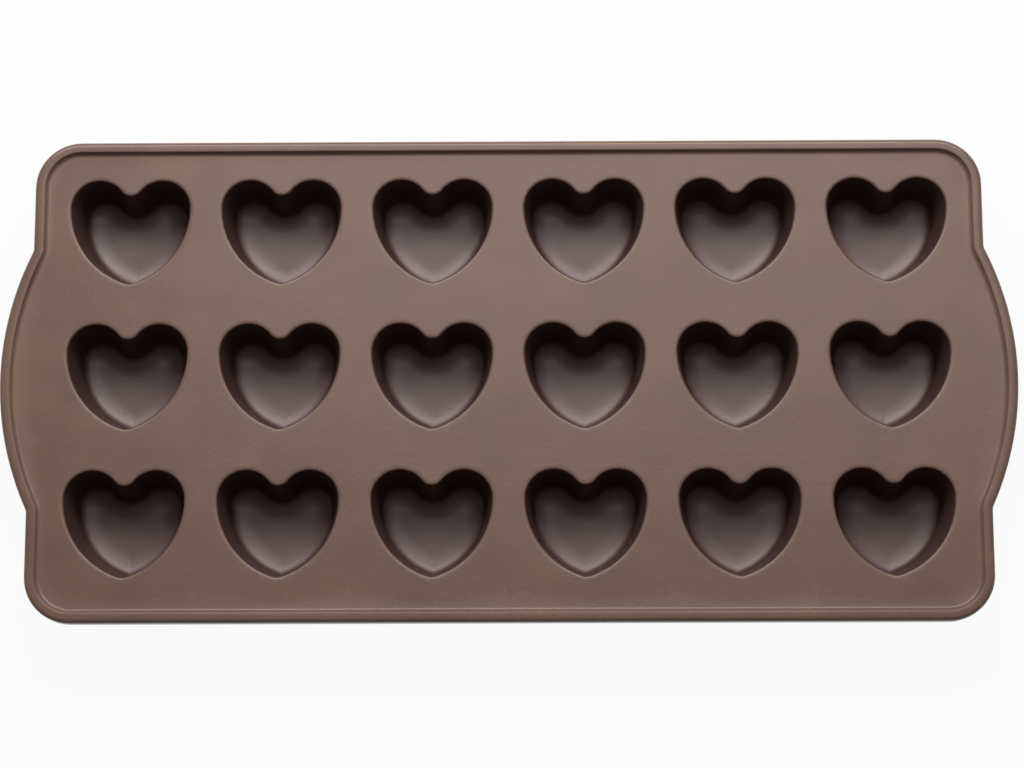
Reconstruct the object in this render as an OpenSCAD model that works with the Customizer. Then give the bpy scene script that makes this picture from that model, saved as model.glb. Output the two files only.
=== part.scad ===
// Flexible tray of heart shaped cups for casting chocolate, moulded in one piece of silicone.
// The face with the openings looks up along Z. X runs along the tray and Y across it.
// The origin is under the middle of the tray, at the level of the cup bottoms that it stands on.

/* [Heart opening] */
// Radius of the two round lobes, at the face
lobe_radius = 6.65; // [5.5:0.05:8]
// Distance between the centres of the two lobes
lobe_spacing = 13.7; // [12:0.1:15]
// Radius of the long curves that run from the lobes to the tip
flank_radius = 18.2; // [16:0.05:24]
// Radius of the tip, seen from above
tip_radius = 3.3; // [2:0.05:5]
// Radius of the notch between the lobes, seen from above
cleft_radius = 2; // [1.6:0.05:3]

/* [Cavity] */
// Depth of each cavity below the face
cavity_depth = 13; // [8:0.5:20]
// Slope of the cavity wall away from upright, in degrees
wall_draft = 8; // [3:0.5:12]
// Rounding where the face turns down into the wall
lip_radius = 0.6; // [0.2:0.1:0.8]
// Rounding between the wall and the floor
floor_fillet = 1.5; // [0.6:0.1:2]
// Radius of the shallow dish that lifts the floor towards the wall
dish_radius = 11; // [9:0.5:30]

/* [Cup] */
// Thickness of the cup wall round the cavity
cup_wall = 1.5; // [0.8:0.1:2]
// Thickness of the cup under the cavity floor
cup_floor = 1.5; // [0.8:0.1:4]
// Rounding between the outside of the cup and its bottom
heel_radius = 2.4; // [0.8:0.1:3]

/* [Pattern] */
// Hearts along the tray
columns = 6; // [1:1:8]
// Hearts across the tray
rows = 3; // [1:1:5]
// Face between two hearts of a row
column_gap = 6; // [5:0.1:12]
// Face between two rows of hearts
row_gap = 8; // [5:0.1:14]
// Face between the outer hearts and the two ends, rim included
end_margin = 7.35; // [6:0.05:20]
// Face between the lobes of the first row and the side, rim included
lobe_margin = 8; // [6:0.05:20]
// Face between the tips of the last row and the side, rim included
tip_margin = 9.3; // [6:0.1:20]

/* [Sheet] */
// Thickness of the sheet that joins the cups
sheet_thickness = 2; // [1:0.1:4]
// Radius of the four corners of the tray, seen from above
corner_radius = 10; // [6:0.5:16]
// Distance that each ear bulges past its end of the tray
ear_reach = 6.5; // [3:0.1:12]
// Width of each ear where it leaves the tray
ear_width = 57.2; // [30:0.1:70]

/* [Rim] */
// Width of the raised rim, from the edge of the tray to the face
rim_width = 3.2; // [2.5:0.1:5]
// Height of the rim above the face
rim_height = 1; // [0.6:0.1:2]
// Distance that the rim hangs below the sheet
rim_drop = 0.8; // [0.2:0.1:2]
// Rounding of the upper outer edge of the rim
rim_round = 1; // [0.3:0.1:1.2]
// Rounding of the lower outer edge of the rim
rim_heel = 0.5; // [0.2:0.1:1]
// Width of the slope from the top of the rim down to the face
rim_slope = 1.2; // [0.5:0.1:1.4]
// Rounding at the top of that slope
slope_round = 0.4; // [0.2:0.1:0.5]

/* [Hidden] */
$fn = 96;

// Flat steps that draw the fillet of a cavity and the heel of a cup
heart_steps = 3;
// Flat steps that draw the lip of a cavity
lip_steps = 2;
// Flat steps that draw the dish of a cavity floor
dish_steps = 2;
// Flat steps that draw each rounding of the rim
rim_steps = 5;
// How far a cutter reaches past the surface that it cuts
reach = 1;
// How far two rounds of the heart run into each other, so that they cross cleanly
seam_lap = 0.03;

// A length kept to a thousandth of a millimetre, so that rounds that meet have the very same ends.
function thousandth(length) = round(length * 1000) / 1000;

lobe_x = lobe_spacing / 2;
flank_x = flank_radius - lobe_radius - lobe_x;
tip_y = -thousandth(sqrt(pow(flank_radius - tip_radius, 2) - pow(flank_x, 2)));
cleft_y = thousandth(sqrt(pow(lobe_radius + cleft_radius, 2) - pow(lobe_x, 2)));
heart_width = lobe_spacing + 2 * lobe_radius;
heart_height = lobe_radius - tip_y + tip_radius;

column_pitch = heart_width + column_gap;
row_pitch = heart_height + row_gap;
tray_length = columns * column_pitch - column_gap + 2 * end_margin;
tray_width = rows * row_pitch - row_gap + lobe_margin + tip_margin;
first_lobe_y = tray_width / 2 - lobe_margin - lobe_radius;

face_z = cavity_depth + cup_floor;
rim_top_z = face_z + rim_height;
sheet_bottom_z = face_z - sheet_thickness;
rim_bottom_z = sheet_bottom_z - rim_drop;

ear_radius = (pow(ear_width / 2, 2) + pow(ear_reach, 2)) / (2 * ear_reach);
ear_x = tray_length / 2 + ear_reach - ear_radius;

// A round of a section: points [inset, height] on a circle about a centre, from one angle to another.
function arc(centre, radius, from, to, steps) = [
    for (i = [0 : steps])
        let (a = from + (to - from) * i / steps)
            [thousandth(centre[0] + radius * cos(a)), thousandth(centre[1] + radius * sin(a))]
];

// Side of a cavity or cup as [inset, height] points, from its top down to its floor.
// The face is at zero. A cavity turns in at its lip. A cup has no lip: it starts inside the sheet,
// with one more point where it leaves the sheet. The wall is straight and drafted. The fillet runs
// into the dish, or ends level where there is no dish, and the dish ends level at its reach.
function side(top, lip, fillet, depth, dish, dish_reach) =
    let (
        down = [sin(wall_draft), -cos(wall_draft)],
        inward = [cos(wall_draft), sin(wall_draft)],
        wall_top = lip * (inward - [0, 1]),
        from_wall = wall_top + fillet * inward,
        dish_centre = [dish_reach, dish - depth],
        offset = from_wall - dish_centre,
        wall_run = dish > 0
            ? sqrt(pow(offset * down, 2) - offset * offset + pow(dish - fillet, 2)) - offset * down
            : (from_wall[1] - fillet + depth) / cos(wall_draft),
        centre = from_wall + wall_run * down,
        meet = dish > 0 ? 180 + atan((dish_centre[1] - centre[1]) / (dish_reach - centre[0])) : 270
    )
    concat(
        lip > 0
            ? concat([[0, top]], arc([0, -lip], lip, 90, wall_draft, lip_steps))
            : [for (z = [top, -sheet_thickness]) [thousandth(-z * tan(wall_draft)), z]],
        arc(centre, fillet, 180 + wall_draft, meet, heart_steps),
        dish > 0
            ? [for (i = [1 : dish_steps]) arc(dish_centre, dish, meet, 270, dish_steps)[i]]
            : []
    );

// How far the cavity wall, carried up to the face, stands inside the opening.
wall_setback = lip_radius * cos(wall_draft)
    - lip_radius * (1 - sin(wall_draft)) * tan(wall_draft);
cup_grow = thousandth(cup_wall / cos(wall_draft) - wall_setback);

// The floor is level from the middle of each lobe inwards.
cavity_side = side(reach, lip_radius, floor_fillet, cavity_depth, dish_radius, lobe_radius - 0.05);
cup_side = side(-sheet_thickness / 2, 0, heel_radius, face_z, 0, 0);

// A round well or boss about the Z axis, whose side follows the given points.
module turned(radius, points, angle) {
    kept = [for (p = points) if (p[0] < radius) [radius - p[0], p[1]]];
    rotate_extrude(angle = angle)
        polygon(concat([[0, points[0][1]]], kept, [[0, lookup(radius, points)]]));
}

// The post of material between the lobes: the side is the same, seen from its other face.
module cleft_post(radius, points) {
    top = points[0];
    foot = points[len(points) - 1];
    rotate_extrude()
        polygon(concat(
            [[0, top[1] + reach], [radius + top[0], top[1] + reach]],
            [for (p = points) [radius + p[0], p[1]]],
            [[radius + foot[0], foot[1] - reach], [0, foot[1] - reach]]
        ));
}

// One half of the heart below the lobes, bounded by one flank.
module flank_side(radius, points) {
    translate([-flank_x, 0, 0])
        rotate([0, 0, 180]) turned(radius, points, 180);
}

// A heart with its lobe centres on the X axis and its tip towards -Y. It is made of rounds that
// all follow one side, so the wall, its draft and its fillet run evenly round the outline.
module heart(grow, points) {
    top_z = points[0][1];
    floor_z = points[len(points) - 1][1];
    flank_run = flank_radius + 2 * grow;
    wedge_x = flank_run * flank_x / (flank_radius - tip_radius);
    wedge_y = flank_run * tip_y / (flank_radius - tip_radius);
    difference() {
        union() {
            for (half = [0, 1])
                mirror([half, 0, 0])
                    translate([lobe_x, 0, 0]) turned(lobe_radius + grow, points, 180);
            difference() {
                intersection() {
                    flank_side(flank_radius + grow, points);
                    mirror([1, 0, 0]) flank_side(flank_radius + grow, points);
                }
                translate([0, tip_y, floor_z - reach])
                    linear_extrude(top_z - floor_z + 2 * reach)
                        polygon([[0, 0], [-wedge_x, wedge_y], [wedge_x, wedge_y]]);
            }
            translate([0, tip_y - seam_lap, 0]) turned(tip_radius + grow, points, 360);
            translate([0, 0, floor_z])
                linear_extrude(top_z - floor_z)
                    polygon([
                        [-lobe_x, -reach], [lobe_x, -reach], [lobe_x, 0],
                        [0, cleft_y], [-lobe_x, 0]
                    ]);
        }
        translate([0, cleft_y - seam_lap, 0]) cleft_post(cleft_radius - grow, points);
    }
}

// Puts its children at each heart of the pattern, with the face at zero.
module each_heart() {
    for (row = [0 : rows - 1], column = [0 : columns - 1])
        translate([
            (column - (columns - 1) / 2) * column_pitch,
            first_lobe_y - row * row_pitch,
            face_z
        ]) children();
}

// A slab with rounded corners whose edge follows [inset, height] points from the bottom up.
module slab(length, width, radius, edge) {
    bottom = edge[0][1];
    top = edge[len(edge) - 1][1];
    straight_x = length / 2 - radius;
    straight_y = width / 2 - radius;
    rotate([90, 0, 90])
        translate([0, 0, -straight_x]) linear_extrude(2 * straight_x)
            polygon(concat(
                [for (p = edge) [width / 2 - p[0], p[1]]],
                [for (i = [len(edge) - 1 : -1 : 0]) [edge[i][0] - width / 2, edge[i][1]]]
            ));
    for (x = [0, 1], y = [0, 1])
        mirror([x, 0, 0]) mirror([0, y, 0]) translate([straight_x, straight_y, 0])
            rotate_extrude(angle = 90)
                polygon(concat([[0, bottom]], [for (p = edge) [radius - p[0], p[1]]], [[0, top]]));
    for (x = [0, 1])
        mirror([x, 0, 0]) translate([straight_x, straight_y, 0])
            rotate([90, 0, 0]) linear_extrude(2 * straight_y)
                polygon(concat([[0, bottom]], [for (p = edge) [radius - p[0], p[1]]], [[0, top]]));
}

// The two ears, each two mirrored slices of a round slab whose edge follows the same points.
module ears(inset, edge) {
    bottom = edge[0][1];
    top = edge[len(edge) - 1][1];
    radius = ear_radius - inset;
    half_angle = acos((tray_length / 2 - inset - reach - ear_x) / radius);
    for (x = [0, 1], y = [0, 1])
        mirror([x, 0, 0]) mirror([0, y, 0]) translate([ear_x, 0, 0])
            rotate_extrude(angle = half_angle)
                polygon(concat([[0, bottom]], [for (p = edge) [radius - p[0], p[1]]], [[0, top]]));
}

// The whole outline of the tray, ears included, drawn in by an inset.
module tray_outline(inset, edge) {
    slab(tray_length - 2 * inset, tray_width - 2 * inset, corner_radius - inset, edge);
    ears(inset, edge);
}

rim_edge = concat(
    arc([rim_heel, rim_bottom_z + rim_heel], rim_heel, 270, 180, rim_steps),
    arc([rim_round, rim_top_z - rim_round], rim_round, 180, 90, rim_steps)
);
face_edge = concat(
    [[0, face_z]],
    arc([-rim_slope, rim_top_z - slope_round], slope_round, 45, 90, rim_steps),
    [[-rim_slope, rim_top_z + reach]]
);
underside_edge = [[0, rim_bottom_z - reach], [0, sheet_bottom_z]];

// Sheet with its raised rim, before the cups are added.
module sheet() {
    difference() {
        tray_outline(0, rim_edge);
        tray_outline(rim_width, face_edge);
        tray_outline(rim_width, underside_edge);
    }
}

module mould() {
    color("#6b5448")
        difference() {
            union() {
                sheet();
                each_heart() heart(cup_grow, cup_side);
            }
            each_heart() heart(0, cavity_side);
        }
}

mould();
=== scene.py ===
# %% [markdown]
# # A silicone mould for chocolate hearts
# The object is one flexible tray: a thin sheet with a raised rim, a curved ear at each end for
# pulling it off, and three rows of six heart shaped cups. It was moulded in one shot, so it is
# made here as one closed skin. The imported model is loaded first, because every size below has to
# stay inside its box.

# %% Load the frame
import math

import bmesh
import bpy
import numpy as np
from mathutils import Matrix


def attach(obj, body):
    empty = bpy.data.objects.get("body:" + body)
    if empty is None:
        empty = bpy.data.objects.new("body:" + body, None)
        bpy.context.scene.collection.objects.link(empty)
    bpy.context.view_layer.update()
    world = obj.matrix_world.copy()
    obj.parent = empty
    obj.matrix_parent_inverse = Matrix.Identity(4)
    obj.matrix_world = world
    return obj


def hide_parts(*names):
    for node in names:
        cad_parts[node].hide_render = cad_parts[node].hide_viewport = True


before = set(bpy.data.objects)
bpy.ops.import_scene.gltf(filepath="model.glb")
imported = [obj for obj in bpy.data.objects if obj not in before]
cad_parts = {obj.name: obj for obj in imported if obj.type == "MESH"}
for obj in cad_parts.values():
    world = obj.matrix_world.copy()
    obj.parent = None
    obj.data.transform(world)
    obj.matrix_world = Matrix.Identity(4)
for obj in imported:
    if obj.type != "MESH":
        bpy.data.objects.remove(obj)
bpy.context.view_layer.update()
MM = 0.001

# %% [markdown]
# ## Camera
# The tray was photographed from above, a little from its front side. The lens is long, so the
# rows keep almost the same size from front to back. The camera is set by its place and three
# turns; `ZYX` applies the roll first, then the sideways lean, then the tilt.

# %% Set the camera
LENS, SENSOR_WIDTH, FAR_END = 94.57, 36.0, 20.0
CAMERA_PLACE = 0.0050, -0.1090, 0.5845
CAMERA_TURNS = 0.1867, 0.0073, -0.0039

camera_data = bpy.data.cameras.new("camera")
camera_data.lens = LENS
camera_data.sensor_width = SENSOR_WIDTH
camera_data.clip_end = FAR_END
camera = bpy.data.objects.new("camera", camera_data)
bpy.context.scene.collection.objects.link(camera)
camera.location = CAMERA_PLACE
camera.rotation_mode = "ZYX"
camera.rotation_euler = CAMERA_TURNS
bpy.context.scene.camera = camera
print("camera stands", round(camera.location.z, 4), "m above the table")

# %% [markdown]
# ## Loops that can be drawn in or out
# Every edge of the tray is made of arcs and straight runs that flow into each other. Such a line
# is kept as points with an outward direction each. Moving every point along its direction gives
# the same line further in or out, with the arcs still true arcs, and that is all that a rim, a
# lip or a drafted wall needs.

# %% Arcs, runs and offset loops


def arc_run(centre, radius, start, end, steps, hollow=False):
    """Points on a circle and their outward directions, without the last point.

    The angle goes evenly from start to end in degrees. On a hollow arc the material of the shape
    lies outside the circle, so the outward direction points at its centre.
    """
    angle = np.radians(start + (end - start) * np.arange(steps) / steps)
    direction = np.stack([np.cos(angle), np.sin(angle)], axis=1)
    points = np.array(centre) + radius * direction
    return points, -direction if hollow else direction


def straight_run(start, end, outward, shares):
    """Points between two ends at the given shares of the way, all with one outward direction."""
    shares = np.asarray(shares)[:, None]
    points = np.array(start) + shares * (np.array(end) - np.array(start))
    return points, np.repeat(np.array([outward], float), len(points), axis=0)


def join_runs(runs):
    """One loop from several runs: all their points, and all their directions."""
    return np.vstack([run[0] for run in runs]), np.vstack([run[1] for run in runs])


def mirrored_loop(points, directions):
    """Close a half loop, from the top middle down the right side, with its mirror image."""
    flip = np.array([-1.0, 1.0])
    left = slice(-2, 0, -1)
    return np.vstack([points, points[left] * flip]), np.vstack([directions, directions[left] * flip])


def drawn_in(loop, insets):
    """The loop moved inwards by each inset: point minus inset times direction."""
    points, directions = loop
    return points[None] - np.asarray(insets, float)[:, None, None] * directions[None]


# %% [markdown]
# ## The heart
# Seen from above, a heart is two round lobes, two long flanks, a small round tip and a hollow
# round cleft. Each arc starts where the last one ends and in the same direction, so the wall has
# no corner. The loop starts in the cleft and goes round clockwise.

# %% Outline of one heart in millimetres
LOBE_RADIUS, LOBE_SPACING = 6.65, 13.7
FLANK_RADIUS, TIP_RADIUS, CLEFT_RADIUS = 18.2, 3.3, 2.0
LOBE_X = LOBE_SPACING / 2
FLANK_X = FLANK_RADIUS - LOBE_RADIUS - LOBE_X
TIP_Y = -math.sqrt((FLANK_RADIUS - TIP_RADIUS) ** 2 - FLANK_X ** 2)
CLEFT_Y = math.sqrt((LOBE_RADIUS + CLEFT_RADIUS) ** 2 - LOBE_X ** 2)
HEART_HEIGHT = LOBE_RADIUS - TIP_Y + TIP_RADIUS

cleft_turn = math.degrees(math.atan2(CLEFT_Y, LOBE_X))
flank_turn = math.degrees(math.atan2(-TIP_Y, FLANK_X))
TOP_STEPS, SIDE_STEPS = 15, 14


def heart_outline(finer):
    """The heart as one loop.

    The steps of one half add up to 15 above, 14 beside and 15 below the heart, which is how the
    frame of its cell is divided. `finer` multiplies every count.
    """
    half = join_runs([
        arc_run((0, CLEFT_Y), CLEFT_RADIUS, -90, -cleft_turn, 5 * finer, hollow=True),
        arc_run((LOBE_X, 0), LOBE_RADIUS, 180 - cleft_turn, 48, 10 * finer),
        arc_run((LOBE_X, 0), LOBE_RADIUS, 48, 0, 7 * finer),
        arc_run((-FLANK_X, 0), FLANK_RADIUS, 0, -30, 7 * finer),
        arc_run((-FLANK_X, 0), FLANK_RADIUS, -30, -flank_turn, 11 * finer),
        arc_run((0, TIP_Y), TIP_RADIUS, -flank_turn, -90, 4 * finer),
        (np.array([[0, TIP_Y - TIP_RADIUS]]), np.array([[0.0, -1.0]])),
    ])
    return mirrored_loop(*half)


heart = heart_outline(1)
HALF = 2 * TOP_STEPS + SIDE_STEPS
print("heart outline:", len(heart[0]), "points,", round(np.ptp(heart[0][:, 0]), 2), "by",
      round(np.ptp(heart[0][:, 1]), 2), "mm")

# %% [markdown]
# ## The tray from above
# The edge is straight along the sides, turns a round corner, and swells into a wide shallow ear
# at each end. A small hollow round blends the ear into the end. The points of the edge are chosen
# so that the grid of each heart cell can run right up to them: 14 steps beside each row.

# %% Outline of the tray in millimetres
COLUMNS, ROWS = 6, 3
COLUMN_GAP, ROW_GAP = 6.0, 8.0
END_MARGIN, LOBE_MARGIN, TIP_MARGIN = 7.35, 8.0, 9.3
COLUMN_PITCH, ROW_PITCH = LOBE_SPACING + 2 * LOBE_RADIUS + COLUMN_GAP, HEART_HEIGHT + ROW_GAP
TRAY_LENGTH = COLUMNS * COLUMN_PITCH - COLUMN_GAP + 2 * END_MARGIN
TRAY_WIDTH = ROWS * ROW_PITCH - ROW_GAP + LOBE_MARGIN + TIP_MARGIN
CORNER, EAR_REACH, EAR_WIDTH, NOTCH = 10.0, 6.48, 57.2, 2.0
FIRST_LOBE_Y = TRAY_WIDTH / 2 - LOBE_MARGIN - LOBE_RADIUS
EAR_RADIUS = ((EAR_WIDTH / 2) ** 2 + EAR_REACH ** 2) / (2 * EAR_REACH)
EAR_X = TRAY_LENGTH / 2 + EAR_REACH - EAR_RADIUS
RIM_WIDTH = 3.2

end_x, side_y = TRAY_LENGTH / 2, TRAY_WIDTH / 2
notch_y = math.sqrt((EAR_RADIUS + NOTCH) ** 2 - (end_x + NOTCH - EAR_X) ** 2)
notch_turn = math.degrees(math.atan2(notch_y, end_x + NOTCH - EAR_X))
cell_bottom = TIP_Y - TIP_RADIUS - ROW_GAP / 2
inner_ear = EAR_RADIUS - RIM_WIDTH


def ear_angle(y):
    """The direction from the ear's centre at which the inner edge of the rim has this height."""
    return math.degrees(math.asin(y / inner_ear))


row_edges = FIRST_LOBE_Y - ROW_PITCH * np.arange(ROWS - 1) + cell_bottom
cell_middles = (np.arange(COLUMNS) - (COLUMNS - 1) / 2) * COLUMN_PITCH

# The points of a cell's upper and lower edge stand closer together beside the middle of its heart.
SPREAD = 1.4
half_run = COLUMN_PITCH / 2 * (np.arange(TOP_STEPS + 1) / TOP_STEPS) ** SPREAD
across = np.concatenate([-half_run[:0:-1], half_run])
STRAIGHT_STEPS = 9


def longer_run(run, end):
    """A run of distances from 0 stretched to a farther end, with the near ones almost kept.

    What is missing at the end is added in proportion to the fourth power of the step number.
    """
    step = np.arange(len(run)) / (len(run) - 1)
    return run + (end - run[-1]) * step ** 4


def tray_outline():
    """The edge of the tray as one loop, clockwise from the middle of the long side at the back."""
    right_middles = cell_middles[COLUMNS // 2:]
    along = (right_middles[:, None] + across[None, :-1]).ravel()[:-TOP_STEPS]
    last = longer_run(half_run[:STRAIGHT_STEPS + 1], end_x - CORNER - right_middles[-1])[:-1]
    shares = np.concatenate([along, right_middles[-1] + last]) / (end_x - CORNER)
    corner_steps = TOP_STEPS - STRAIGHT_STEPS
    corner_centre = (end_x - CORNER, side_y - CORNER)
    ear_turns = [ear_angle(y) for y in row_edges]
    half = join_runs([
        straight_run((0, side_y), (end_x - CORNER, side_y), (0, 1), shares),
        arc_run(corner_centre, CORNER, 90, 45, corner_steps),
        arc_run(corner_centre, CORNER, 45, 0, 7),
        straight_run((end_x, side_y - CORNER), (end_x, notch_y), (1, 0), [0]),
        arc_run((end_x + NOTCH, notch_y), NOTCH, 180, 180 + notch_turn, 2, hollow=True),
        arc_run((EAR_X, 0), EAR_RADIUS, notch_turn, ear_turns[0], 4),
        arc_run((EAR_X, 0), EAR_RADIUS, ear_turns[0], ear_turns[1], SIDE_STEPS),
        arc_run((EAR_X, 0), EAR_RADIUS, ear_turns[1], -notch_turn, 4),
        arc_run((end_x + NOTCH, -notch_y), NOTCH, 180 - notch_turn, 180, 2, hollow=True),
        straight_run((end_x, -notch_y), (end_x, CORNER - side_y), (1, 0), [0]),
        arc_run((end_x - CORNER, CORNER - side_y), CORNER, 0, -45, 7),
        arc_run((end_x - CORNER, CORNER - side_y), CORNER, -45, -90, corner_steps),
        straight_run((0, -side_y), (end_x - CORNER, -side_y), (0, -1), np.append(1, shares[:0:-1])),
        (np.array([[0, -side_y]]), np.array([[0.0, -1.0]])),
    ])
    return mirrored_loop(*half)


tray = tray_outline()
print("tray:", round(np.ptp(tray[0][:, 0]), 2), "by", round(np.ptp(tray[0][:, 1]), 2), "mm,",
      len(tray[0]), "points")

# %% [markdown]
# ## Cells
# Each heart lies in a cell. Inner cells are plain rectangles, and the outer ones run up to the
# rim, so the flat face can be filled with one ring of quads from each heart to its cell, and
# neighbouring cells share their edge points exactly.

# %% Frames of the cells


def cell_frames(edge):
    """The loop round each cell, with as many points as a heart, for a given inner edge of the rim.

    The corners of the cells are found first: inner ones by pitch, outer ones on the rim. Then each
    side is a straight run between two corners, or the piece of the rim between them.
    """
    across_steps = 2 * TOP_STEPS
    first = COLUMNS * TOP_STEPS
    ring = np.roll(edge, first, axis=0)
    ring = np.vstack([ring, ring[:1]])
    long, short = COLUMNS * across_steps, ROWS * SIDE_STEPS
    top, right = ring[:long + 1], ring[long:long + short + 1]
    bottom, left = ring[long + short:2 * long + short + 1], ring[2 * long + short:]
    corners = np.empty((ROWS + 1, COLUMNS + 1, 2))
    corners[..., 0] = (np.arange(COLUMNS + 1) - COLUMNS / 2) * COLUMN_PITCH
    corners[1:-1, :, 1] = row_edges[:, None]
    corners[1:-1, -1] = right[SIDE_STEPS:-1:SIDE_STEPS]
    corners[1:-1, 0] = left[::-1][SIDE_STEPS:-1:SIDE_STEPS]
    corners[0] = top[::across_steps]
    corners[-1] = bottom[::-1][::across_steps]
    down = np.arange(SIDE_STEPS + 1)[:, None] / SIDE_STEPS

    def level_edge(row, column):
        """The points from left to right between two corners on the line above a row."""
        if row == 0:
            return top[column * across_steps:][:across_steps + 1]
        if row == ROWS:
            return bottom[::-1][column * across_steps:][:across_steps + 1]
        a, b = corners[row, column], corners[row, column + 1]
        to_left = longer_run(half_run, cell_middles[column] - a[0])
        to_right = longer_run(half_run, b[0] - cell_middles[column])
        x = cell_middles[column] + np.concatenate([-to_left[:0:-1], to_right])
        return a + ((x - a[0]) / (b[0] - a[0]))[:, None] * (b - a)

    frames = np.empty((ROWS, COLUMNS, 2 * HALF, 2))
    for row in range(ROWS):
        for column in range(COLUMNS):
            upper, lower = level_edge(row, column), level_edge(row + 1, column)[::-1]
            east = upper[-1] + down * (lower[0] - upper[-1])
            west = lower[-1] + down * (upper[0] - lower[-1])
            if column == COLUMNS - 1:
                east = right[row * SIDE_STEPS:][:SIDE_STEPS + 1]
            if column == 0:
                west = left[(ROWS - 1 - row) * SIDE_STEPS:][:SIDE_STEPS + 1]
            frames[row, column] = np.vstack([
                upper[TOP_STEPS:-1], east[:-1], lower[:-1], west[:-1], upper[:TOP_STEPS]
            ])
    return frames


heart_centres = np.stack(np.meshgrid(
    cell_middles, FIRST_LOBE_Y - ROW_PITCH * np.arange(ROWS)), axis=-1)
print("cells:", ROWS * COLUMNS, "hearts on a pitch of", COLUMN_PITCH, "by", round(ROW_PITCH, 2), "mm")

# %% [markdown]
# ## Sections
# A section is a line of points of inset and height. The cavity has a small round lip, a wall with
# draft so that the sweet comes out, a fillet, and a shallow dish for a floor. The outside of the
# cup follows it at an even wall. The rim stands a little above the face and hangs a little below
# the sheet.

# %% Section lines in millimetres
CAVITY_DEPTH, WALL_DRAFT, LIP, FLOOR_FILLET = 13.0, math.radians(8), 0.6, 1.5
DISH_RADIUS, DISH_REACH = 11.0, LOBE_RADIUS - 0.05
CUP_WALL, CUP_FLOOR, HEEL, CUP_ROOT = 1.5, 1.5, 2.4, 0.5
SHEET, RIM_HEIGHT, RIM_DROP, RIM_SLOPE = 2.0, 1.0, 0.8, 1.2
RIM_ROUND, RIM_HEEL, SLOPE_FOOT, SLOPE_TOP, UNDER_ROUND = 1.0, 0.5, 0.9, 0.3, 0.2
FACE_Z = CAVITY_DEPTH + CUP_FLOOR
UNDER_Z = FACE_Z - SHEET


def arc_line(centre, radius, start, end, steps):
    """Points of a section on a circle, from one angle to another, both ends kept."""
    angle = np.radians(np.linspace(start, end, steps + 1))
    return np.array(centre) + radius * np.stack([np.cos(angle), np.sin(angle)], axis=1)


def cavity_section():
    """Lip, wall, fillet and dished floor of a cavity, from the face down.

    The fillet's centre lies its radius away from the wall and on a circle round the dish's
    centre, where the two rounds run into each other with no corner. Its place along the wall is
    the nearer root of that condition.
    """
    draft = math.degrees(WALL_DRAFT)
    along = np.array([math.sin(WALL_DRAFT), -math.cos(WALL_DRAFT)])
    inward = np.array([math.cos(WALL_DRAFT), math.sin(WALL_DRAFT)])
    lip = arc_line((0, FACE_Z - LIP), LIP, 90, draft, 4)
    dish_centre = np.array([DISH_REACH, CUP_FLOOR + DISH_RADIUS])
    offset = lip[-1] + FLOOR_FILLET * inward - dish_centre
    half_b = offset @ along
    gap = offset @ offset - (DISH_RADIUS - FLOOR_FILLET) ** 2
    length = -half_b + math.sqrt(half_b ** 2 - gap)
    centre = dish_centre + offset + length * along
    meet = math.degrees(math.atan2(*(centre - dish_centre)[::-1])) % 360
    wall = lip[-1] + np.array([[0.33], [0.67]]) * length * along
    fillet = arc_line(centre, FLOOR_FILLET, 180 + draft, meet, 6)
    dish = arc_line(dish_centre, DISH_RADIUS, meet, 270, 24)[1:]
    return lip, wall, fillet, dish


def cup_section():
    """Outside of a cup from the underside of the sheet to its bottom, as insets from the heart."""
    set_back = LIP * math.cos(WALL_DRAFT) - LIP * (1 - math.sin(WALL_DRAFT)) * math.tan(WALL_DRAFT)
    grow = CUP_WALL / math.cos(WALL_DRAFT) - set_back
    draft = math.degrees(WALL_DRAFT)
    wall_end = HEEL - HEEL * math.sin(WALL_DRAFT)
    end_inset = (FACE_Z - wall_end) * math.tan(WALL_DRAFT)
    heel = arc_line((end_inset + HEEL * math.cos(WALL_DRAFT), HEEL), HEEL, 180 + draft, 270, 5)
    root_inset = SHEET * math.tan(WALL_DRAFT)
    root = arc_line((root_inset - CUP_ROOT, UNDER_Z - CUP_ROOT), CUP_ROOT, 90, draft, 3)
    return np.vstack([root, heel]) - [grow, 0]


def rim_section():
    """Section of the rim: a hollow round from the face, a steep bank, the top, and the outside."""
    top, under = FACE_Z + RIM_HEIGHT, UNDER_Z - RIM_DROP
    return np.vstack([
        arc_line((RIM_WIDTH + 0.03, FACE_Z + SLOPE_FOOT), SLOPE_FOOT, 270, 205, 5),
        arc_line((RIM_WIDTH - RIM_SLOPE, top - SLOPE_TOP), SLOPE_TOP, 25, 90, 4),
        arc_line((RIM_ROUND, top - RIM_ROUND), RIM_ROUND, 90, 180, 6),
        arc_line((RIM_HEEL, under + RIM_HEEL), RIM_HEEL, 180, 270, 4),
        arc_line((RIM_WIDTH - UNDER_ROUND, under + UNDER_ROUND), UNDER_ROUND, 270, 360, 2),
        [[RIM_WIDTH, UNDER_Z]],
    ])


lip_line, wall_line, fillet_line, dish_line = cavity_section()
cup_line, rim_line = cup_section(), rim_section()
print("floor starts", round(fillet_line[-1][0], 2), "mm inside the outline and rises",
      round(fillet_line[-1][1] - CUP_FLOOR, 2), "mm")

# %% [markdown]
# ## Rings and grids
# A ring is a loop at one height. Stacked rings make a grid, and a grid makes quads. All grids are
# made of the same few lines, and they meet point on point, so merging their doubles closes the
# skin.

# %% From sections to grids


def rings(loop, section):
    """A grid of rings: the loop drawn in by each inset of the section, at its height."""
    flat = drawn_in(loop, section[:, 0])
    heights = np.broadcast_to(section[:, 1][:, None, None], flat.shape[:2] + (1,))
    return np.concatenate([flat, heights], axis=2)


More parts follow.
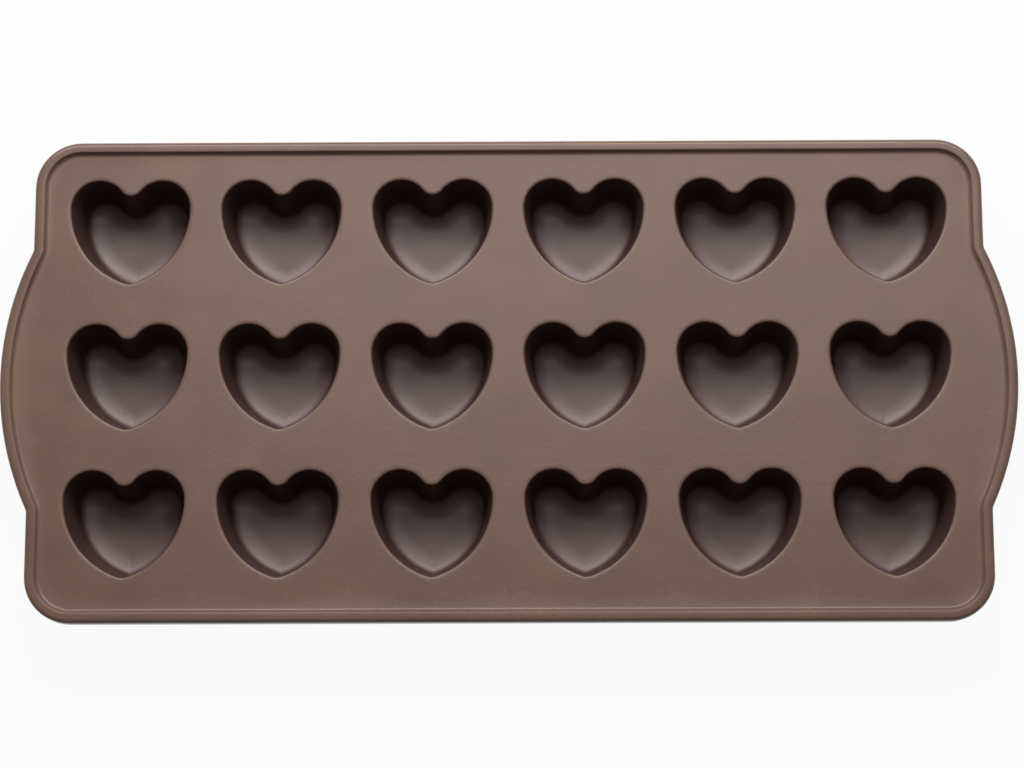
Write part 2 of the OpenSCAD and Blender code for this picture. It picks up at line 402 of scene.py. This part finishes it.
def blend_rings(outer, inner, height, steps):
    """Rings from one flat loop to another at one height, both ends kept."""
    share = np.linspace(0, 1, steps + 1)[:, None, None]
    flat = outer[None] + share * (inner - outer)[None]
    return np.concatenate([flat, np.full(flat.shape[:2] + (1,), height)], axis=2)


def ring_quads(ring_count, length, turned):
    """Quads between neighbouring rings, closed round the loop; turned ones face the other way."""
    here = np.arange(length)
    after = np.roll(here, -1)
    low = np.arange(ring_count - 1)[:, None] * length
    high = low + length
    corners = [low + here, low + after, high + after, high + here]
    order = corners[::-1] if turned else corners
    return np.stack(order, axis=-1).reshape(-1, 4)


def gather(grids):
    """One list of points, of quads and of depths from many grids of (rings, turned, cavity).

    The depth is how far a point of a cavity lies below the face. It is 0 on everything else.
    """
    points, quads, depths, start = [], [], [], 0
    for grid, turned, cavity in grids:
        points.append(grid.reshape(-1, 3))
        quads.append(ring_quads(grid.shape[0], grid.shape[1], turned) + start)
        depths.append(cavity * (FACE_Z - points[-1][:, 2]))
        start += len(points[-1])
    return np.vstack(points), np.vstack(quads), np.concatenate(depths)


def distance_to(points, loop_points):
    """How far each point lies from a closed line: the nearest of its pieces, all at once."""
    start = loop_points[None]
    run = np.roll(loop_points, -1, axis=0)[None] - start
    from_start = points[:, None] - start
    share = np.clip((from_start * run).sum(-1) / (run * run).sum(-1), 0, 1)
    return np.linalg.norm(from_start - share[..., None] * run, axis=-1).min(axis=1)


# %% [markdown]
# ## Floors
# The dished floor rises with the nearness of the wall. Drawing the heart in can't make it,
# because the tip closes up before the middle is reached. So its rings shrink towards one point,
# and each point looks up its height from its own distance to the heart's outline.

# %% Grid of one cavity and one cup
FLOOR_MIDDLE = np.array([0.0, -5.2])
fine_heart = heart_outline(6)[0]


def floor_rings(edge, shares):
    """Rings that shrink from the edge of the floor to its middle, with heights from the dish."""
    flat = FLOOR_MIDDLE + shares[:, None, None] * (edge - FLOOR_MIDDLE)[None]
    inset = distance_to(flat.reshape(-1, 2), fine_heart)
    section = np.vstack([fillet_line, dish_line])
    height = np.interp(inset, section[:, 0], section[:, 1]).reshape(flat.shape[:2] + (1,))
    return np.concatenate([flat, height], axis=2)


SMALLEST_TIP = 0.15
above_floor = fillet_line[fillet_line[:, 0] < TIP_RADIUS - SMALLEST_TIP]
cavity_rings = rings(heart, np.vstack([lip_line, wall_line, above_floor]))
floor_shares = np.array([1, 0.94, 0.88, 0.81, 0.74, 0.66, 0.57, 0.47, 0.36, 0.24, 0.12, 0.0])
floor_grid = floor_rings(cavity_rings[-1][:, :2], floor_shares)
floor_grid[0] = cavity_rings[-1]
cavity_grid = np.vstack([cavity_rings, floor_grid[1:]])

cup_rings = rings(heart, cup_line)
bottom_shares = np.array([0.6, 0.3, 0.0])[:, None, None]
bottom_flat = FLOOR_MIDDLE + bottom_shares * (cup_rings[-1][:, :2] - FLOOR_MIDDLE)[None]
cup_grid = np.concatenate([cup_rings, np.concatenate([bottom_flat, np.zeros((3, 2 * HALF, 1))], 2)])
print("cavity grid", cavity_grid.shape[:2], "and cup grid", cup_grid.shape[:2])

# %% [markdown]
# ## One closed skin
# The rim's section goes once round the tray. On the face, each cell is filled from its frame to
# its heart, and the cavity hangs from there. The underside is filled the same way up to the root
# of each cup.

# %% Make the mesh of the mould
COLLAR, MERGE_DISTANCE = 0.5, 0.002


def cell_grids(frame_loop, centre):
    """The four grids of one cell: face, cavity, underside and cup."""
    lead = np.append(centre, 0.0)
    face_edge = drawn_in(heart, [-COLLAR])[0] + centre
    lip_edge = cavity_grid[:1] + lead
    face = blend_rings(frame_loop[0], face_edge, FACE_Z, 3)
    root_edge = cup_grid[0, :, :2] + centre
    under = blend_rings(frame_loop[1], root_edge, UNDER_Z, 3)
    return [(np.concatenate([face, lip_edge]), True, False), (cavity_grid + lead, True, True),
            (under, False, False), (cup_grid + lead, False, False)]


face_frames = cell_frames(drawn_in(tray, [rim_line[0, 0]])[0])
under_frames = cell_frames(drawn_in(tray, [rim_line[-1, 0]])[0])
grids = [(rings(tray, rim_line), False, False)]
for row in range(ROWS):
    for column in range(COLUMNS):
        loops = (face_frames[row, column], under_frames[row, column])
        grids += cell_grids(loops, heart_centres[row, column])
skin_points, skin_quads, skin_depths = gather(grids)


def skin_object(name, points, quads, depths, merge):
    """A mesh object from points in millimetres and quads, with doubles merged and smooth faces.

    The depths are kept on its points as an attribute, for the material to read.
    """
    mesh = bpy.data.meshes.new(name)
    mesh.from_pydata(points * MM, [], quads.tolist())
    mesh.attributes.new("cup_depth", "FLOAT", "POINT").data.foreach_set("value", depths)
    work = bmesh.new()
    work.from_mesh(mesh)
    bmesh.ops.remove_doubles(work, verts=work.verts, dist=merge * MM)
    bmesh.ops.recalc_face_normals(work, faces=work.faces)
    loose = [edge for edge in work.edges if len(edge.link_faces) != 2]
    work.to_mesh(mesh)
    work.free()
    mesh.polygons.foreach_set("use_smooth", np.ones(len(mesh.polygons), bool))
    piece = bpy.data.objects.new(name, mesh)
    bpy.context.scene.collection.objects.link(piece)
    print(name, ":", len(mesh.vertices), "points,", len(mesh.polygons), "faces,",
          len(loose), "open edges")
    return piece


mould = skin_object("silicone_mould", skin_points, skin_quads, skin_depths, MERGE_DISTANCE)
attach(mould, "root")
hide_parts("mould")

# %% [markdown]
# ## Silicone
# Brown food grade silicone has a satin face and duller cups. The cups carry painted shade: their
# brown is painted darker and redder than the face, darkest on their walls, where shade falls. A
# little noise keeps it from being too even. The zones follow the depth that each point carries, and
# the noise follows Object coordinates, so both stay on the piece in every view.

# %% Material of the mould


def node_of(tree, kind, **settings):
    """A new node of a material with some of its settings."""
    node = tree.nodes.new(kind)
    for name, value in settings.items():
        setattr(node, name, value)
    return node


FACE_BROWN = 0.206, 0.125, 0.097
# Wall and floor browns are painted shade: the same silicone as the face, drawn darker in the cups and
# darkest on the walls.
WALL_SHADE_BROWN = 0.076, 0.041, 0.036
FLOOR_SHADE_BROWN = 0.153, 0.097, 0.092
ROUGHNESS = 0.25, 0.5, 0.34
SPECULAR = 0.5, 0.22, 0.5
# The wall brown starts just under the face, so the lip's round is painted darker: painted shade over
# its highlight.
ZONE_ENDS = 0.02, 0.35, 11.8, 12.6
BLOTCH_TINTS = (0.93, 0.925, 0.93), (1.06, 1.055, 1.03)
BLOTCH_ENDS = 0.35, 0.65
BLOTCH_SCALE, BLOTCH_DETAIL = 70.0, 3.0
GRAIN_SCALE, GRAIN_DETAIL, GRAIN_STRENGTH, GRAIN_DEPTH = 900.0, 4.0, 0.25, 0.0001
SILICONE_IOR = 1.43


def zone_ramp(tree, depth, face, wall, floor):
    """A ramp of three colours by depth: face, then wall, then floor, with short blends between."""
    ramp = node_of(tree, "ShaderNodeValToRGB")
    stops = ramp.color_ramp.elements
    stops[0].position, stops[1].position = ZONE_ENDS[0] / CAVITY_DEPTH, ZONE_ENDS[3] / CAVITY_DEPTH
    stops[0].color, stops[1].color = (*face, 1), (*floor, 1)
    for end in ZONE_ENDS[1:3]:
        stops.new(end / CAVITY_DEPTH).color = (*wall, 1)
    tree.links.new(depth.outputs["Result"], ramp.inputs["Fac"])
    return ramp


def noise_of(tree, place, scale, detail):
    """A noise that follows Object coordinates."""
    noise = node_of(tree, "ShaderNodeTexNoise")
    noise.inputs["Scale"].default_value = scale
    noise.inputs["Detail"].default_value = detail
    tree.links.new(place.outputs["Object"], noise.inputs["Vector"])
    return noise


def silicone_material():
    """Brown silicone: zones of colour and finish by depth, blotched and grained by noise."""
    material = bpy.data.materials.new("brown_silicone")
    material.use_nodes = True
    tree = material.node_tree
    shader = tree.nodes["Principled BSDF"]
    shader.inputs["IOR"].default_value = SILICONE_IOR
    carried = node_of(tree, "ShaderNodeAttribute", attribute_name="cup_depth")
    depth = node_of(tree, "ShaderNodeMapRange")
    depth.inputs["From Max"].default_value = CAVITY_DEPTH
    tree.links.new(carried.outputs["Fac"], depth.inputs["Value"])
    # Painted shade: this ramp darkens and reddens the brown from the face down into the cups.
    painted_shade_browns = zone_ramp(tree, depth, FACE_BROWN, WALL_SHADE_BROWN, FLOOR_SHADE_BROWN)
    finishes = zone_ramp(tree, depth, *[(rough, shine, 0) for rough, shine in zip(ROUGHNESS, SPECULAR)])
    parts = node_of(tree, "ShaderNodeSeparateColor")
    tree.links.new(finishes.outputs["Color"], parts.inputs["Color"])
    tree.links.new(parts.outputs["Red"], shader.inputs["Roughness"])
    tree.links.new(parts.outputs["Green"], shader.inputs["Specular IOR Level"])

    place = node_of(tree, "ShaderNodeTexCoord")
    blotch = noise_of(tree, place, BLOTCH_SCALE, BLOTCH_DETAIL)
    tints = node_of(tree, "ShaderNodeValToRGB")
    for stop, position, tint in zip(tints.color_ramp.elements, BLOTCH_ENDS, BLOTCH_TINTS):
        stop.position, stop.color = position, (*tint, 1)
    tree.links.new(blotch.outputs["Fac"], tints.inputs["Fac"])
    tinted = node_of(tree, "ShaderNodeVectorMath", operation="MULTIPLY")
    tree.links.new(painted_shade_browns.outputs["Color"], tinted.inputs[0])
    tree.links.new(tints.outputs["Color"], tinted.inputs[1])
    tree.links.new(tinted.outputs["Vector"], shader.inputs["Base Color"])

    grain = noise_of(tree, place, GRAIN_SCALE, GRAIN_DETAIL)
    bump = node_of(tree, "ShaderNodeBump")
    bump.inputs["Strength"].default_value = GRAIN_STRENGTH
    bump.inputs["Distance"].default_value = GRAIN_DEPTH
    tree.links.new(grain.outputs["Fac"], bump.inputs["Height"])
    tree.links.new(bump.outputs["Normal"], shader.inputs["Normal"])
    return material


mould.data.materials.append(silicone_material())
print("materials:", [slot.name for slot in mould.material_slots])

# %% [markdown]
# ## Table and light
# The photograph has a white ground and a long lamp behind the tray, which throws the shadows of
# the cup edges towards the front. A soft box above the back half shines on the face: towards the
# front the camera no longer meets its reflection, and the face darkens there.

# %% Table, lamps and surround
TABLE_WHITE, TABLE_ROUGHNESS, TABLE_GLOW, TABLE_HALF = (0.85, 0.85, 0.85), 0.7, 0.94, 1.5
SURROUND_LIGHT, SURROUND_SEEN = 0.08, 1.0


def table_material():
    """White for the camera, with a part of its own shading kept so that shadows still show."""
    material = bpy.data.materials.new("white_table")
    material.use_nodes = True
    tree = material.node_tree
    shader = tree.nodes["Principled BSDF"]
    shader.inputs["Base Color"].default_value = (*TABLE_WHITE, 1)
    shader.inputs["Roughness"].default_value = TABLE_ROUGHNESS
    glow = node_of(tree, "ShaderNodeEmission")
    path = node_of(tree, "ShaderNodeLightPath")
    seen = node_of(tree, "ShaderNodeMath", operation="MAXIMUM")
    tree.links.new(path.outputs["Is Camera Ray"], seen.inputs[0])
    tree.links.new(path.outputs["Is Glossy Ray"], seen.inputs[1])
    part = node_of(tree, "ShaderNodeMath", operation="MULTIPLY")
    part.inputs[1].default_value = TABLE_GLOW
    tree.links.new(seen.outputs[0], part.inputs[0])
    both = node_of(tree, "ShaderNodeMixShader")
    tree.links.new(part.outputs[0], both.inputs["Fac"])
    tree.links.new(shader.outputs[0], both.inputs[1])
    tree.links.new(glow.outputs[0], both.inputs[2])
    tree.links.new(both.outputs[0], tree.nodes["Material Output"].inputs["Surface"])
    return material


table_mesh = bpy.data.meshes.new("table")
table_corners = TABLE_HALF * np.array([[-1, -1, 0], [1, -1, 0], [1, 1, 0], [-1, 1, 0]])
table_mesh.from_pydata(table_corners.tolist(), [], [(0, 1, 2, 3)])
table = bpy.data.objects.new("table", table_mesh)
bpy.context.scene.collection.objects.link(table)
table_mesh.materials.append(table_material())


def soft_lamp(name, place, aim_y, size, power, colour):
    """A rectangular lamp of size (wide, high) metres, tipped about X to face a place on the tray."""
    data = bpy.data.lights.new(name, "AREA")
    data.shape = "RECTANGLE"
    data.size, data.size_y = size
    data.energy = power
    data.color = colour
    lamp = bpy.data.objects.new(name, data)
    bpy.context.scene.collection.objects.link(lamp)
    lamp.location = place
    lamp.rotation_euler = (math.atan2(aim_y - place[1], place[2] - FACE_Z * MM), 0, 0)
    return lamp


key = soft_lamp("lamp_behind", place=(-0.02, 0.35, 0.424), aim_y=0, size=(0.6, 0.17), power=2.85,
                colour=(1, 0.99, 0.97))
overhead = soft_lamp("lamp_overhead", place=(0.05, 0.225, 0.768), aim_y=0, size=(0.5, 0.24),
                     power=0.87, colour=(1, 0.98, 0.97))

world = bpy.data.worlds.new("surround")
bpy.context.scene.world = world
world.use_nodes = True
world_tree = world.node_tree
backdrop = world_tree.nodes["Background"]
backdrop.inputs["Color"].default_value = (1, 1, 1, 1)
world_path = node_of(world_tree, "ShaderNodeLightPath")
level = node_of(world_tree, "ShaderNodeMapRange")
level.inputs["To Min"].default_value = SURROUND_LIGHT
level.inputs["To Max"].default_value = SURROUND_SEEN
world_tree.links.new(world_path.outputs["Is Camera Ray"], level.inputs["Value"])
world_tree.links.new(level.outputs["Result"], backdrop.inputs["Strength"])
bpy.context.scene.view_settings.view_transform = "Standard"
print("lamps:", [(lamp.name, round(lamp.data.energy, 2)) for lamp in (key, overhead)])
